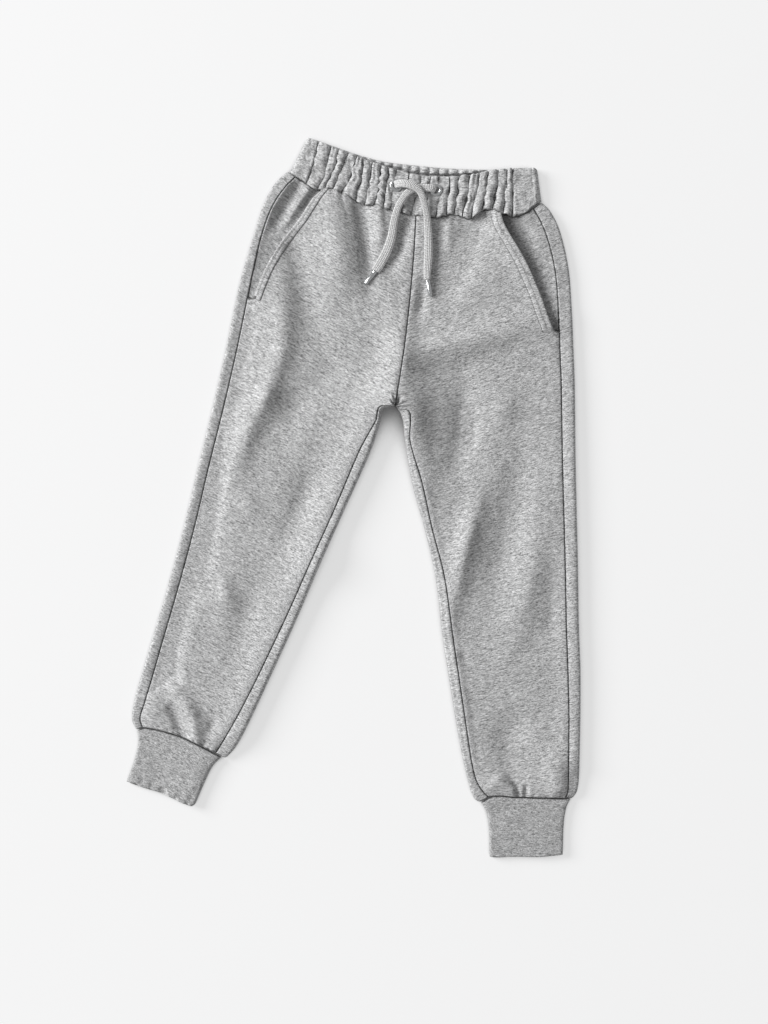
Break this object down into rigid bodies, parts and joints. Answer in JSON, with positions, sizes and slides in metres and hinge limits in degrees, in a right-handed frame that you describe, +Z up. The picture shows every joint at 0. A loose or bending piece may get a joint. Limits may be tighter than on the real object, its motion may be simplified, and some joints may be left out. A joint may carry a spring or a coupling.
{
  "type": "jogger sweatpants",
  "caption": "Child's grey melange fleece jogger sweatpants laid flat, with gathered waistband, crossed drawcord ends, slanted hip pockets and rib cuffs.",
  "frame": {"origin": "on the surface that the garment lies on, under the middle of its outline", "axes": "+Y towards the waist along the garment's length, +X to the wearer's left, +Z up off the surface"},
  "size_m": [0.4305, 0.6831, 0.0193],
  "materials": {
    "fleece": "brushed grey melange fleece",
    "rib": "grey melange rib knit",
    "cord": "light grey flat tubular knit cord",
    "metal": "nickel-plated"
  },
  "bodies": {
    "root": {"front_panel_right": "fleece", "front_panel_left": "fleece", "back_panel_right": "fleece", "back_panel_left": "fleece", "hip_pocket_right": "fleece", "hip_pocket_left": "fleece", "waistband": "fleece", "cuff_right": "rib", "cuff_left": "rib", "drawcord_right": "cord", "drawcord_left": "cord", "aglet_right": "metal", "aglet_left": "metal", "eyelet_right": "metal", "eyelet_left": "metal"}
  },
  "joints": []
}
